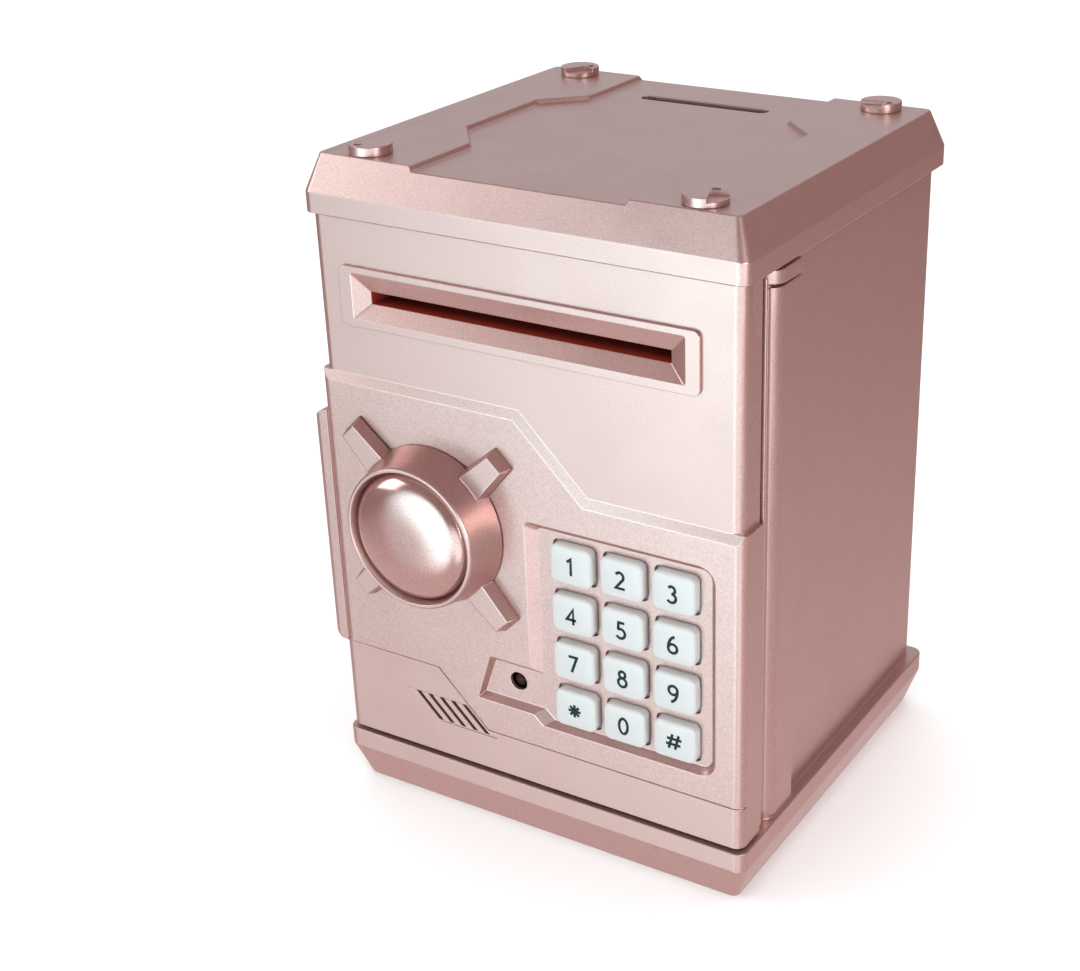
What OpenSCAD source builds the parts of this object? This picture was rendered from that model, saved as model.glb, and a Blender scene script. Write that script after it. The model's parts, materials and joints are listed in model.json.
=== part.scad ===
// Toy cash machine savings bank: a locking box with a keypad door, a note feeder and a coin slot.
// Origin at the middle of the base on the surface it stands on. +X right, +Z up, front towards -Y.

/* [Case] */
// Width of the base
base_w = 132; // [130:0.5:134]
// Depth of the base
base_d = 123; // [122:0.5:124]
// Height to the flat top of the cap
cap_top = 190; // [188:0.5:192]
// Thickness of the case walls
wall = 2.2; // [2:0.1:2.4]
// Height of the base band
base_h = 17.1; // [16:0.1:17.4]

/* [Door] */
// Lowest edge of the door
door_low = 18; // [17.8:0.1:18.4]
// Diameter of the steel hinge pins
pin_d = 3; // [2.6:0.1:3]

/* [Keypad] */
// Spacing of the keys from left to right
key_pitch_x = 15.35; // [15:0.05:15.4]
// Spacing of the keys from top to bottom
key_pitch_z = 14.65; // [14.4:0.05:14.8]
// Width of a key
key_w = 12.8; // [12:0.1:13]
// Height of a key
key_h = 11.2; // [10.6:0.1:11.3]

/* [Knob] */
// Distance from the knob's axis to the middle of the door, to the left
knob_left = 30; // [29:0.5:30]
// Height of the knob's axis
knob_z = 92; // [91:0.5:93]
// Radius of the knob's front rim
knob_r = 20.5; // [19:0.5:21]

/* [Note feeder] */
// Height of the note's path
note_z = 152.8; // [152:0.1:153.4]
// Width of the note slot
note_w = 90.5; // [86:0.5:91]
// Opening of the note slot
note_gap = 3.3; // [3:0.1:3.6]

/* [Hidden] */
KEY_NAMES = ["key_1", "key_2", "key_3", "key_4", "key_5", "key_6",
             "key_7", "key_8", "key_9", "key_star", "key_0", "key_hash"];

$fn = 64;
eps = 0.01;
far = 400;

// Case and cap outlines
base_over = 1;
half_w = base_w / 2 - base_over;
half_d = base_d / 2 - base_over;
base_chamfer = 3.8;
base_chamfer_h = 11.2;
base_r = 3.2;
base_low_r = 2.2;
side_x = half_w - 2.2;
rear_y = half_d - 2.5;
case_r = 3;
case_front = -46.6;
case_top = cap_top - 15.5;
inner_x = side_x - wall;
inner_rear = rear_y - wall;
frame_t = wall;
floor_plate_t = 2.4;
floor_z = floor_plate_t + 1.8;
floor_head_seat = 1.6;
floor_head_h = 1.3;
pin_fit = 0.02;
ledge_t = 2.2;
open_left = -57.5;
open_right = 55;
open_low = 20;
open_top = case_top - 4;
top_flange_t = 2.2;

// Pads on the sides, with a rounded post at the front of each
post_r = 5;
post_front = -44.9;
post_y = post_front + post_r;
post_x = half_w - post_r;
pad_rear = -30.8;
frame_hw = side_x - 1.2;
post_top = case_top - 5.3;
post_cap_low = post_top + 0.8;
post_cap_high = case_top - 0.9;
post_peg_r = 1.2;
post_peg_y = [-40, -33];
post_peg_z = (post_cap_low + post_cap_high) / 2;

// Screws of the case
case_screw_r = 1.25;
case_screw_hole_r = 1.7;
case_head_r = 2.8;
case_head_h = 1.8;
case_boss_r = 4;
floor_screw_x = 54;
floor_screw_y = 49;
cap_screw_x = 52;
cap_screw_y = [-38, 47.5];

// Cap
cap_hw = half_w + 0.2;
cap_hd = half_d;
cap_slope = 3.7;
cap_band_top = cap_top - 9.9;
cap_r = 3;
cap_top_r = 1.6;
cap_wall = 4.3;
cap_roof = 2.6;
recess_d = 1.3;
recess_slope = 0.8;
recess_narrow = 32;
recess_wide = 43;
recess_step = 14;
recess_front = -31;
recess_back = 31;
coin_len = 40.5;
coin_gap = 4.3;
coin_y = 38.5;
bolt_x = 49;
bolt_y = 50.5;
bolt_r = 5.7;
bolt_low_h = 1.4;
bolt_high_h = 2.5;
bolt_peg_r = 2.4;
bolt_peg_len = 4.4;
bolt_step_x = -1;
bolt_turn = [10, 200, 150, 100];

// Hinge
hinge_x = half_w - 4;
hinge_y = -53.5;
pin_r = pin_d / 2;
run_gap = 0.05;
hinge_boss_r = 3.2;
bore_len = 10;
pin_in_door = 9;
pin_top = case_top + 6.5;
pin_low = 8;

// Door
door_top = case_top - 0.4;
door_rear = -50;
upper_y = -59;
lower_y = -60.1;
strip_y = -60.5;
upper_hw = half_w - 1.1;
lower_hw = half_w;
door_r = 3;
skin_y = -57;
door_wall = 2.2;
step_low = 107.6;
step_high = 110.3;
step_left = 128;
step_corner_x = 18.2;
strip_z = 30.5;
strip_left_z = 46.5;
strip_corner_x = -15.5;
line_w = 0.35;
line_deep = 0.25;
grip_x = -half_w - 4.1;
grip_low = 46.4;
grip_top = 118;

// Keypad recess in the door, and the keys
recess_floor = -58.1;
pad_left = -0.2;
pad_right = 56.8;
pad_low = 37.6;
pad_top = 99.7;
pad_corner = 4.8;
pad_near_r = 1.6;
pad_near_spread = 1.7;
pad_step = [3.4, 3];
pad_slope = 1.7;
led_x = -5.7;
led_z = 48.3;
led_hole_r = 2.7;
led_r = 2.5;
led_body = -55.2;
key_col_x = 14.25;
key_row_z = 90.1;
key_face = -61;
key_flange = 0.8;
key_gap = 0.25;
key_travel = 1.2;
key_r = 1.6;

// Back cover of the door
lip_front = -49.4;
lip_rear = -48.6;
plug_front = -51.2;
lip_hw = half_w - 0.4;
lip_inset = 0.4;
plug_gap = 0.4;
cover_screw_at = [[-56, 25], [-56, 133], [-56, 167], [-6, 23.6], [8, 130], [54.4, 116], [54.4, 168]];
cover_boss_r = 3;
screw_r = 1.1;

// Battery compartment, on the rear of the back cover
cell_r = 7.25;
cell_len = 50.5;
cell_pitch = 15.3;
cell_x = 25;
cell_y = -40;
nub_h = 1.4;
plate_room = 2.1;
bat_wall = 1.6;
bat_in_w = 3 * cell_pitch + 0.4;
bat_low = 26;
spring_room = 5.4;
bat_high = bat_low + spring_room + cell_len + plate_room;
bat_open = -31.8;
bat_lid_t = 1.8;
lid_screw_r = 1.3;
lid_boss_r = 3.4;
lid_screw_z = bat_high + bat_wall + 2.6;

// Knob, latch and solenoid
knob_x = -knob_left;
knob_foot = lower_y - 0.25;
knob_front = -71.5;
knob_foot_r = knob_r + 2.5;
knob_rim_w = 1.3;
dome_r = 18.4;
dome_seat = -68.2;
dome_fullness = 0.55;
dome_top = -73.6;
arm_front = knob_foot - 3.7;
arm_r = 35;
spindle_r = 5;
spindle_end = -43.9;
drive_r = 3;
cam_front = -43.9;
cam_rear = -41.3;
cam_r = 13;
latch_len = 30;
latch_w = 9;
plunger_y = (cam_front + cam_rear) / 2;
plunger_r = 2;
plunger_tip = knob_z - cam_r - 0.3;
coil_low = 47.4;
coil_high = 64.6;
coil_r = 5;
sol_hw = 8;
sol_plate = 1.2;
sol_rear = plunger_y + 6;
collar_z = 73.2;

// Note feeder
feed_x = -1.5;
feed_left = -50;
feed_right = 46.4;
feed_plate = 1.6;
feed_front = lip_rear;
feed_rear = -20;
feed_low = 138;
feed_top = 163;
roller_y = -34;
roller_r = 7;
idler_r = 4;
nip_gap = 0.3;
roller_z = note_z - nip_gap / 2 - roller_r;
idler_z = note_z + nip_gap / 2 + idler_r;
shaft_r = 2;
idler_shaft_r = 1.5;
roller_w = 8;
roller_at = [-27, feed_x, 24];
guide_t = 1.2;
guide_half = note_gap / 2;
gear_module = 0.6;
drive_teeth = 36;
small_teeth = 12;
big_teeth = 40;
pinion_teeth = 10;
arbor_z = roller_z - gear_module * (drive_teeth + small_teeth) / 2;
motor_z = arbor_z - gear_module * (big_teeth + pinion_teeth) / 2;
gear_a = [48.6, 51.2];
gear_b = [51.6, 53.8];
arbor_r = 1;
motor_len = 25;
motor_w = 20.4;
motor_t = 15.4;

// Colours
rose = [0.74, 0.55, 0.54];
rose_light = [0.86, 0.72, 0.71];
white = [0.93, 0.93, 0.94];
dark = [0.16, 0.16, 0.17];
steel = [0.72, 0.73, 0.75];
board_green = [0.07, 0.3, 0.18];
brass_c = [0.8, 0.65, 0.35];

// ---- General shapes ----

// Rectangle with true round corners, centred
module round_rect(w, d, r) {
    square([w - 2 * r, d], center = true);
    square([w, d - 2 * r], center = true);
    for (sx = [-1, 1], sy = [-1, 1])
        translate([sx * (w / 2 - r), sy * (d / 2 - r)]) circle(r);
}

// Rectangle from low to high corner
module area(x0, y0, x1, y1) {
    translate([x0, y0]) square([x1 - x0, y1 - y0]);
}

// Box from low to high corner
module block(low, high) {
    translate(low) cube(high - low);
}

// Extrudes a drawing of X and Z from y0 to y1
module along_y(y0, y1) {
    translate([0, y1, 0]) rotate([90, 0, 0]) linear_extrude(y1 - y0) children();
}

// Extrudes a drawing of Y and Z from x0 to x1
module along_x(x0, x1) {
    translate([x0, 0, 0]) rotate([90, 0, 90]) linear_extrude(x1 - x0) children();
}

// Extrudes a drawing of X and Y from z0 to z1
module along_z(z0, z1) {
    translate([0, 0, z0]) linear_extrude(z1 - z0) children();
}

// Round bar along each axis
module bar_x(x0, x1, y, z, r) {
    translate([x0, y, z]) rotate([0, 90, 0]) cylinder(h = x1 - x0, r = r);
}

module bar_y(x, y0, y1, z, r) {
    translate([x, y1, z]) rotate([90, 0, 0]) cylinder(h = y1 - y0, r = r);
}

module bar_z(x, y, z0, z1, r) {
    translate([x, y, z0]) cylinder(h = z1 - z0, r = r);
}

// Turns a drawing of radius and depth about an axis along Y; depth grows towards the back
module about_y(x, z) {
    translate([x, 0, z]) rotate([-90, 0, 0]) rotate_extrude() children();
}

// Points of a rounded rectangle at height z, anticlockwise
function ring(w, d, r, z, steps = 8) =
    [for (corner = [[1, 1, 0], [-1, 1, 90], [-1, -1, 180], [1, -1, 270]], i = [0:steps])
        let (a = corner[2] + 90 * i / steps)
        [corner[0] * (w / 2 - r) + r * cos(a), corner[1] * (d / 2 - r) + r * sin(a), z]];

// Closed solid through rings of equally many points, from the lowest ring up
module loft(rings) {
    n = len(rings[0]);
    last = len(rings) - 1;
    sides = [for (k = [0:last - 1], i = [0:n - 1])
        [k * n + i, (k + 1) * n + i, (k + 1) * n + (i + 1) % n, k * n + (i + 1) % n]];
    polyhedron([for (r = rings) each r],
        concat([[for (i = [0:n - 1]) i]], sides, [[for (i = [n - 1:-1:0]) last * n + i]]));
}

// Pan head screw standing on its head at the origin, shank along +Z
module screw(head_r, head_h, shank_r, len) {
    difference() {
        cylinder(h = head_h, r = head_r);
        for (a = [0, 90])
            rotate(a) translate([-head_r * 0.6, -head_h * 0.17, -eps])
                cube([head_r * 1.2, head_h * 0.34, head_h * 0.5]);
    }
    translate([0, 0, head_h - eps]) cylinder(h = len + eps, r = shank_r);
}

// Involute gear outline, one tooth centred on +X
function involute(rb, a) = [rb * (cos(a) + a * PI / 180 * sin(a)), rb * (sin(a) - a * PI / 180 * cos(a))];
function turned(p, a) = [p[0] * cos(a) - p[1] * sin(a), p[0] * sin(a) + p[1] * cos(a)];

module gear_outline(teeth) {
    pitch_r = gear_module * teeth / 2;
    rb = pitch_r * cos(20);
    tip_r = pitch_r + gear_module * 0.9;
    root_r = pitch_r - gear_module * 1.2;
    play = 0.1 / pitch_r * 180 / PI / 2;
    half_tooth = 90 / teeth + (tan(20) * 180 / PI - 20) - play;
    low_r = max(rb, root_r + 0.02);
    steps = 4;
    radii = [for (i = [0:steps]) low_r + (tip_r - low_r) * i / steps];
    flank = [for (r = radii) involute(rb, sqrt(r * r / (rb * rb) - 1) * 180 / PI)];
    rising = [for (p = flank) turned(p, -half_tooth)];
    falling = [for (i = [steps:-1:0]) [rising[i][0], -rising[i][1]]];
    root_a = atan2(rising[0][1], rising[0][0]);
    tooth = concat([turned([root_r, 0], root_a)], rising, falling, [turned([root_r, 0], -root_a)]);
    polygon([for (t = [0:teeth - 1]) for (p = tooth) turned(p, t * 360 / teeth)]);
}

// ---- Case ----

// Block of the base band, chamfered towards the floor
module base_block() loft([ring(base_w - 2 * base_chamfer, base_d - 2 * base_chamfer, base_low_r, 0),
    ring(base_w, base_d, base_r, base_chamfer_h), ring(base_w, base_d, base_r, base_h)]);

// Plan of the pad and post on the right-hand side
module post_plan(r) {
    translate([post_x, post_y]) circle(r);
    area(side_x - 1, post_y, post_x + r, pad_rear);
}

module at_floor_screws() {
    for (sx = [-1, 1], sy = [-1, 1]) translate([sx * floor_screw_x, sy * floor_screw_y, 0]) children();
}

module at_cap_screws() {
    for (sx = [-1, 1], y = cap_screw_y) translate([sx * cap_screw_x, y, 0]) children();
}

module case_outside() {
    base_block();
    along_z(base_h - eps, case_top) intersection() {
        translate([0, rear_y - half_d]) round_rect(2 * side_x, 2 * half_d, case_r);
        union() {
            area(-frame_hw, case_front, frame_hw, far);
            area(-far, post_front, far, far);
        }
    }
    for (side = [0, 1]) mirror([side, 0, 0]) along_z(base_h - eps, post_top) post_plan(post_r);
}

module case_shell() color(rose) difference() {
    union() {
        difference() {
            case_outside();
            block([-inner_x, case_front + frame_t, floor_z], [inner_x, inner_rear, case_top - top_flange_t]);
            block([-inner_x, -half_d + 3.4, floor_z], [inner_x, 0, base_h - ledge_t]);
        }
        at_floor_screws() bar_z(0, 0, floor_plate_t, base_h - ledge_t, case_boss_r);
        intersection() {
            bar_z(hinge_x, hinge_y, floor_z - eps, base_h - eps, hinge_boss_r);
            base_block();
        }
    }
    // Door opening, and the opening through the top flange
    block([open_left, -50, open_low], [open_right, case_front + frame_t + 1, open_top]);
    block([-44, -32, case_top - 10], [44, 42, case_top + 1]);
    // Recess and opening in the floor
    block([-57.6, -53.1, -1], [57.6, 53.1, floor_plate_t]);
    block([-49, -44, 0], [49, 44, floor_z + 1]);
    // Screw and pin bores
    at_floor_screws() bar_z(0, 0, floor_plate_t - 1, 11.4, case_screw_r + pin_fit);
    at_cap_screws() bar_z(0, 0, case_top - 10, case_top + 1, case_screw_hole_r);
    bar_z(hinge_x, hinge_y, pin_low - 0.3, base_h + 1, pin_r + pin_fit);
    // Seat of the post cap, and the holes for its two pegs
    block([57, -50, post_top], [far, -44.4, case_top + 1]);
    for (y = post_peg_y) bar_x(inner_x - 1, side_x + 1, y, post_peg_z, post_peg_r + pin_fit);
}

module floor_plate() color(rose) difference() {
    along_z(0, floor_plate_t) round_rect(114.8, 105.8, 2);
    at_floor_screws() bar_z(0, 0, -1, floor_plate_t + 1, case_screw_hole_r);
    at_floor_screws() bar_z(0, 0, -1, floor_head_seat, case_head_r + 0.4);
}

module floor_screws() color(steel)
    at_floor_screws() translate([0, 0, floor_head_seat - floor_head_h])
        screw(case_head_r, floor_head_h, case_screw_r, 9);

// ---- Cap ----

// Block of the cap: a band, and above it a slope with rounded corners
module cap_block() loft([ring(2 * cap_hw, 2 * cap_hd, cap_r, case_top),
    ring(2 * cap_hw, 2 * cap_hd, cap_r, cap_band_top),
    ring(2 * (cap_hw - cap_slope), 2 * (cap_hd - cap_slope), cap_top_r, cap_top)]);

// Outline of the wide middle of the sunken panel, grown by g, at height z
function cap_recess_ring(g, z) =
    let (rise = recess_wide - recess_narrow,
        right = [[recess_narrow + g, recess_front], [recess_wide + g, recess_front + recess_step],
            [recess_wide + g, recess_back - recess_step], [recess_narrow + g, recess_back - recess_step + rise]])
    concat([for (p = right) [p[0], p[1], z]], [for (i = [3:-1:0]) [-right[i][0], right[i][1], z]]);

// Sunken panel on top, with sloping sides: a channel from front to rear, wider in the middle
module cap_recess() {
    low = cap_top - recess_d;
    over = recess_slope / recess_d;
    narrow_low = recess_narrow - recess_slope;
    narrow_high = recess_narrow + over;
    along_y(-base_d, base_d)
        polygon([[-narrow_low, low], [narrow_low, low], [narrow_high, cap_top + 1], [-narrow_high, cap_top + 1]]);
    loft([cap_recess_ring(-recess_slope, low), cap_recess_ring(over, cap_top + 1)]);
}

module at_bolts() {
    corners = [[-1, -1], [1, -1], [-1, 1], [1, 1]];
    for (i = [0:3]) translate([corners[i][0] * bolt_x, corners[i][1] * bolt_y, 0]) rotate(bolt_turn[i]) children();
}

module top_cap() color(rose) difference() {
    union() {
        difference() {
            cap_block();
            block([-60, -44.6, case_top - 1], [60, 55, cap_top - cap_roof]);
            block([-60, -55, case_top + ledge_t], [60, -46.8, cap_top - cap_roof]);
        }
        at_cap_screws() bar_z(0, 0, case_top, cap_top - cap_roof + eps, case_boss_r);
        at_bolts() bar_z(0, 0, cap_top - cap_roof - 3, cap_top - cap_roof + eps, case_boss_r);
        intersection() {
            bar_z(hinge_x, hinge_y, case_top + eps, cap_top, hinge_boss_r);
            cap_block();
        }
    }
    cap_recess();
    along_z(cap_top - 10, cap_top + 1) translate([0, coin_y]) round_rect(coin_len, coin_gap, coin_gap / 2 - eps);
    at_bolts() bar_z(0, 0, cap_top - bolt_peg_len - 0.2, cap_top + 1, bolt_peg_r + pin_fit);
    at_cap_screws() bar_z(0, 0, case_top - 1, case_top + 9, case_screw_r + pin_fit);
    bar_z(hinge_x, hinge_y, case_top - 1, pin_top + 0.3, pin_r + pin_fit);
}

// Ornamental bolt heads: a disc with a low quarter, and a small socket in the high part beside it
module bolt_head() {
    bar_z(0, 0, 0, bolt_low_h, bolt_r);
    bar_z(0, 0, -bolt_peg_len, eps, bolt_peg_r);
    difference() {
        bar_z(0, 0, bolt_low_h - eps, bolt_high_h, bolt_r);
        block([-bolt_r - 1, -1.3, 0], [bolt_step_x, bolt_r + 1, 4]);
        block([bolt_step_x - 2.1, -3.6, bolt_low_h + 0.2], [bolt_step_x - 0.1, -2, 4]);
    }
}

module bolt_covers() color(rose) at_bolts() translate([0, 0, cap_top]) bolt_head();

module cap_screws() color(steel)
    at_cap_screws() translate([0, 0, case_top - top_flange_t - case_head_h])
        screw(case_head_r, case_head_h, case_screw_r, 8.8);

module post_cap() color(rose) {
    along_z(post_cap_low, post_cap_high) difference() {
        post_plan(post_r + 0.4);
        area(0, -44.4, side_x, far);
        area(0, -far, 57.2, far);
    }
    for (y = post_peg_y) bar_x(inner_x + 0.2, side_x + eps, y, post_peg_z, post_peg_r);
}

module hinge_pins() color(steel) {
    bar_z(hinge_x, hinge_y, door_top - pin_in_door, pin_top, pin_r);
    bar_z(hinge_x, hinge_y, pin_low, door_low + pin_in_door, pin_r);
}

// ---- Door ----

// Plan of the door with round front corners
module door_plan(hw, front) {
    area(-hw, front + door_r, hw, door_rear);
    area(-hw + door_r, front, hw - door_r, door_rear);
    for (s = [-1, 1]) translate([s * (hw - door_r), front + door_r]) circle(door_r);
}

// Raised lower part: two blocks whose upper edges slope back to the upper panel
module raised_blocks() {
    slope = step_high - step_low;
    for (left = [false, true]) hull() {
        along_y(lower_y, door_rear) raised_outline(left, 0);
        along_y(upper_y, door_rear) raised_outline(left, slope);
    }
}

// Outline of one raised block, grown by g along its upper edges. The right-hand one ends at the
// lower step. The left-hand one rises to the higher step along a diagonal.
module raised_outline(left, g) {
    side = lower_hw + 10;
    diagonal = step_corner_x + step_low + g * sqrt(2);
    low = step_low + g;
    high = step_left + g;
    if (left) polygon([[-side, 0], [diagonal - low, 0], [diagonal - low, low], [diagonal - high, high], [-side, high]]);
    else area(-side, 0, side, low);
}

// Outline of the raised strip at the foot of the door, higher on the left beyond a diagonal
module strip_outline() {
    side = lower_hw + 10;
    polygon([[-side, 0], [side, 0], [side, strip_z], [strip_corner_x, strip_z],
        [strip_corner_x - (strip_left_z - strip_z), strip_left_z], [-side, strip_left_z]]);
}

module grip_outline() {
    polygon([[-lower_hw + 1, grip_low - 0.4], [-lower_hw - 1.4, grip_low], [grip_x, grip_low + 2.4],
        [grip_x, grip_top - 2.4], [-lower_hw - 1.4, grip_top], [-lower_hw + 1, grip_top + 0.4]]);
}

module door_outside() {
    along_z(door_low, door_top) door_plan(upper_hw, upper_y);
    intersection() {
        along_z(door_low, step_left + 4) door_plan(lower_hw, lower_y);
        raised_blocks();
    }
    intersection() {
        along_z(door_low, strip_left_z) door_plan(lower_hw, strip_y);
        along_y(-far, door_rear) strip_outline();
    }
    // Finger grip on the free edge
    intersection() {
        along_y(lower_y, door_rear - 1.4) grip_outline();
        along_z(0, far) union() {
            area(grip_x, lower_y + 2.5, 0, door_rear);
            area(grip_x + 2.5, lower_y, 0, door_rear);
            translate([grip_x + 2.5, lower_y + 2.5]) circle(2.5);
        }
    }
}

// Points round a quarter circle, in short straight steps
function quarter(x, z, r, from) = [for (a = [0:15:90]) [x + r * cos(from + a), z + r * sin(from + a)]];

// Outline of the main keypad recess, shrunk by g
module pad_outline(g) {
    left = pad_left + g * pad_near_spread;
    far_r = pad_corner - g;
    polygon(concat(quarter(pad_right - pad_corner, pad_low + pad_corner, far_r, -90),
        quarter(pad_right - pad_corner, pad_top - pad_corner, far_r, 0),
        quarter(left + pad_near_r, pad_top - g - pad_near_r, pad_near_r, 90),
        [[left, pad_low + g + pad_step[1]], [left + pad_step[0], pad_low + g]]));
}

// Outline of the lamp recess to the left of the keypad, shrunk by g
module lamp_outline(g) {
    polygon([[-18.4 + g * 0.9, 40.4 + g], [8, 40.4 + g], [8, 55 - g], [-13.5 + g * 0.3, 55 - g]]);
}

module keypad_recess() {
    hull() {
        along_y(lower_y - eps, lower_y) pad_outline(0);
        along_y(recess_floor - eps, recess_floor) pad_outline(pad_slope);
    }
    hull() {
        along_y(lower_y - eps, lower_y) lamp_outline(0);
        along_y(recess_floor - eps, recess_floor) lamp_outline(pad_slope);
    }
}

function key_x(i) = key_col_x + (i % 3) * key_pitch_x;
function key_z(i) = key_row_z - floor(i / 3) * key_pitch_z;

// Fine engraved lines above and below the speaker slots
module vent_lines() {
    area(-42.6, 36.4, -22.5, 36.4 + line_w);
    area(-31.5, 29 - line_w, -12.6, 29);
}

// Five slanted speaker slots
module vent_slots() {
    for (i = [0:4]) translate([-39.2 + 4 * i, 36.4])
        polygon([[-0.7, 0], [0.9, 0], [8.4, -7.4], [6.8, -7.4]]);
}

speaker_x = -27.3;
speaker_z = 33.9;
board_screw_at = [[-9, 59], [-9, 98], [54.8, 97.5], [54.8, 40.5]];

module door_shell() color(rose) difference() {
    union() {
        difference() {
            door_outside();
            block([-lower_hw + 3.4, skin_y, door_low + door_wall],
                [lower_hw - 3.4, door_rear + 1, door_top - door_wall]);
        }
        // Hinge bosses
        for (z = [door_low, door_top - 14]) along_z(z, z + 14) {
            translate([hinge_x, hinge_y]) circle(hinge_boss_r);
            area(hinge_x, hinge_y - hinge_boss_r, lower_hw - 1.6, hinge_y + hinge_boss_r);
        }
        for (p = cover_screw_at) bar_y(p[0], skin_y - eps, plug_front, p[1], cover_boss_r);
        for (p = board_screw_at) bar_y(p[0], skin_y - eps, -54, p[1], 2.2);
        bar_y(knob_x, skin_y - eps, plug_front, knob_z, 8.5);
    }
    keypad_recess();
    for (i = [0:11]) along_y(-far, skin_y + 1) translate([key_x(i), key_z(i)])
        round_rect(key_w + 2 * key_gap, key_h + 2 * key_gap, key_r);
    along_y(-far, skin_y + 1) vent_slots();
    along_y(-far, strip_y + line_deep) vent_lines();
    bar_y(led_x, -far, skin_y + 1, led_z, led_hole_r);
    // Opening for the note bezel
    block([feed_x - 50.2, -far, note_z - 6.6], [feed_x + 50.2, skin_y + 1, note_z + 6.6]);
    // Bores for the knob, hinge pins and screws
    bar_y(knob_x, -far, 0, knob_z, spindle_r + run_gap);
    bar_z(hinge_x, hinge_y, 0, door_low + bore_len, pin_r + run_gap);
    bar_z(hinge_x, hinge_y, door_top - bore_len, far, pin_r + run_gap);
    for (p = cover_screw_at) bar_y(p[0], skin_y + 0.6, 0, p[1], screw_r);
    for (p = board_screw_at) bar_y(p[0], skin_y + 0.4, 0, p[1], 0.9);
}

bezel_w = 108;
bezel_low = 144.9;
bezel_top = 161.6;
tunnel_rear = -48.9;

module note_bezel() color(rose_light) {
    plate_front = upper_y - 1;
    throat_y = -57.2;
    difference() {
        union() {
            along_y(plate_front, upper_y) translate([feed_x, (bezel_low + bezel_top) / 2])
                round_rect(bezel_w, bezel_top - bezel_low, 2);
            block([feed_x - 50, upper_y - eps, note_z - 6.4], [feed_x + 50, skin_y, note_z + 6.4]);
            block([feed_x - note_w / 2 - 1.4, skin_y - eps, note_z - note_gap / 2 - 1.4],
                [feed_x + note_w / 2 + 1.4, tunnel_rear, note_z + note_gap / 2 + 1.4]);
        }
        hull() {
            along_y(plate_front - 0.2, plate_front) translate([feed_x, note_z + 0.7]) round_rect(100, 12.6, 0.6);
            along_y(throat_y - eps, throat_y) translate([feed_x - 0.5, note_z]) round_rect(note_w, note_gap, 0.4);
        }
        block([feed_x - 0.5 - note_w / 2, -far, note_z - note_gap / 2],
            [feed_x - 0.5 + note_w / 2, 0, note_z + note_gap / 2]);
    }
}

// One key: a cap with chamfered edges and a flange behind the door's skin
module key_at(i) {
    bevel = 0.9;
    x = key_x(i);
    z = key_z(i);
    color(white) {
        hull() {
            along_y(key_face, key_face + eps) translate([x, z]) round_rect(key_w - 2 * bevel, key_h - 2 * bevel, 1);
            along_y(key_face + bevel, key_face + bevel + eps) translate([x, z]) round_rect(key_w, key_h, key_r);
        }
        along_y(key_face + bevel, skin_y + 0.1) translate([x, z]) round_rect(key_w, key_h, key_r);
        along_y(skin_y + 0.1 - eps, skin_y + 0.1 + key_flange) translate([x, z])
            round_rect(key_w + 1.5, key_h + 1.6, key_r);
    }
}

mat_front = skin_y + 0.1 + key_flange + key_travel + 0.1;
board_front = mat_front + 0.8;
board_t = 1.6;

module keypad_mat() color([0.35, 0.35, 0.37]) difference() {
    along_y(mat_front, board_front) area(4, 38.6, 55.2, 99.4);
    for (p = board_screw_at) bar_y(p[0], -far, 0, p[1], 3.4);
}

module circuit_board() color(board_green) difference() {
    along_y(board_front, board_front + board_t) area(-12.4, 38.2, 57.4, 101);
    for (p = board_screw_at) bar_y(p[0], -far, 0, p[1], 1.2);
}

module control_chip() color(dark)
    block([-10.6, board_front - 1.4, 66], [-1.6, board_front, 84]);

module status_led() color([0.75, 0.2, 0.2])
    about_y(led_x, led_z) polygon(concat([[0, board_front]],
        [for (a = [0:10:90]) [led_r * sin(a), led_body - led_r * cos(a)]], [[led_r, board_front]]));

module board_screws() color(steel)
    for (p = board_screw_at) translate([p[0], board_front + board_t + 1, p[1]])
        rotate([90, 0, 0]) screw(1.9, 1, 0.9, 3.6);

// Small loudspeaker: rim, cone with its dust cap, and magnet
module speaker() color(dark) translate([speaker_x, 0, speaker_z]) {
    difference() {
        bar_y(0, -56.6, -54.6, 0, 13);
        bar_y(0, -57, -55.8, 0, 11.4);
    }
    bar_y(0, -56.4, -55.8 + eps, 0, 4.5);
    bar_y(0, -54.6 - eps, -52.4, 0, 8);
}

// Back cover: a plug inside the door shell, a thin lip behind it, and the battery compartment
module back_cover() color(rose) difference() {
    union() {
        along_y(lip_front, lip_rear) translate([0, (door_low + door_top) / 2])
            round_rect(2 * lip_hw, door_top - door_low - 2 * lip_inset, 1);
        along_y(plug_front, lip_front + eps) area(-lower_hw + 3.4 + plug_gap, door_low + door_wall + plug_gap,
            hinge_x - hinge_boss_r - plug_gap, door_top - door_wall - plug_gap);
        block([cell_x - bat_in_w / 2 - bat_wall, lip_rear - eps, bat_low - bat_wall],
            [cell_x + bat_in_w / 2 + bat_wall, bat_open, bat_high + bat_wall]);
        bar_y(cell_x, lip_rear - eps, bat_open, lid_screw_z, lid_boss_r);
        // Bearing of the knob's spindle
        bar_y(knob_x, lip_rear - eps, cam_front - 0.3, knob_z, 7.5);
    }
    bar_y(cell_x, bat_open - 4, 0, lid_screw_z, lid_screw_r + pin_fit);
    block([cell_x - bat_in_w / 2, lip_rear, bat_low], [cell_x + bat_in_w / 2, 0, bat_high]);
    // Note tunnel, spindle and screws
    block([feed_x - note_w / 2 - 1.8, -far, note_z - note_gap / 2 - 1.8],
        [feed_x + note_w / 2 + 1.8, 0, note_z + note_gap / 2 + 1.8]);
    bar_y(knob_x, -far, 0, knob_z, spindle_r + run_gap);
    for (p = cover_screw_at) bar_y(p[0], -far, 0, p[1], 1.5);
}

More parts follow.
